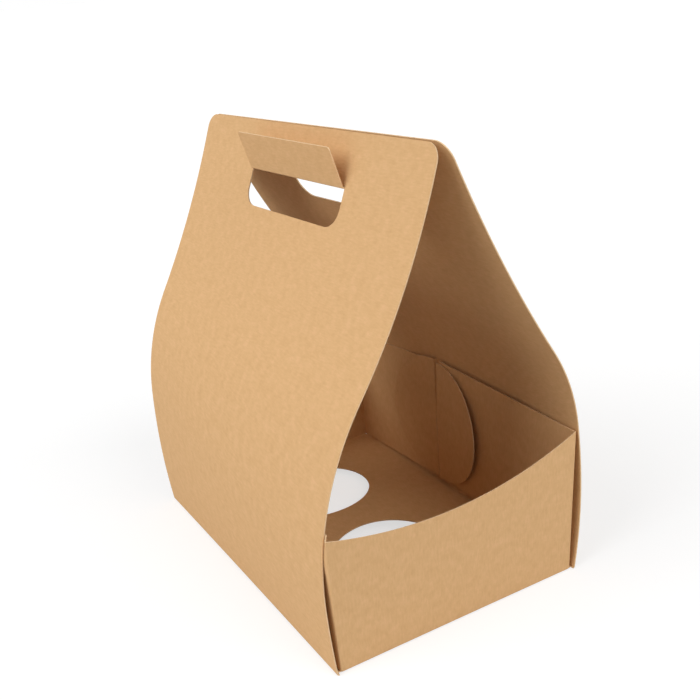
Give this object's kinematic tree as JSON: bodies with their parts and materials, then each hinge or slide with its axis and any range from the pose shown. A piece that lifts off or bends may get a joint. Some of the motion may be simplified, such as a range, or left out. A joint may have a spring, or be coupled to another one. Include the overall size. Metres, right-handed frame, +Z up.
{
  "type": "cardboard cup carrier",
  "caption": "Folded kraft board cup carrier: open tray with round cup holes in its floor and tall curved side panels meeting at a hand hole.",
  "frame": {"origin": "middle of the tray's underside, on the surface that the carrier stands on", "axes": "+X across the tray from one side panel to the other, +Y along the tray from one end wall to the other, +Z up to the handle"},
  "size_m": [0.1436, 0.209, 0.222],
  "materials": {
    "kraft_board": "matte"
  },
  "bodies": {
    "root": {"folded_carrier": "kraft_board"}
  },
  "joints": []
}
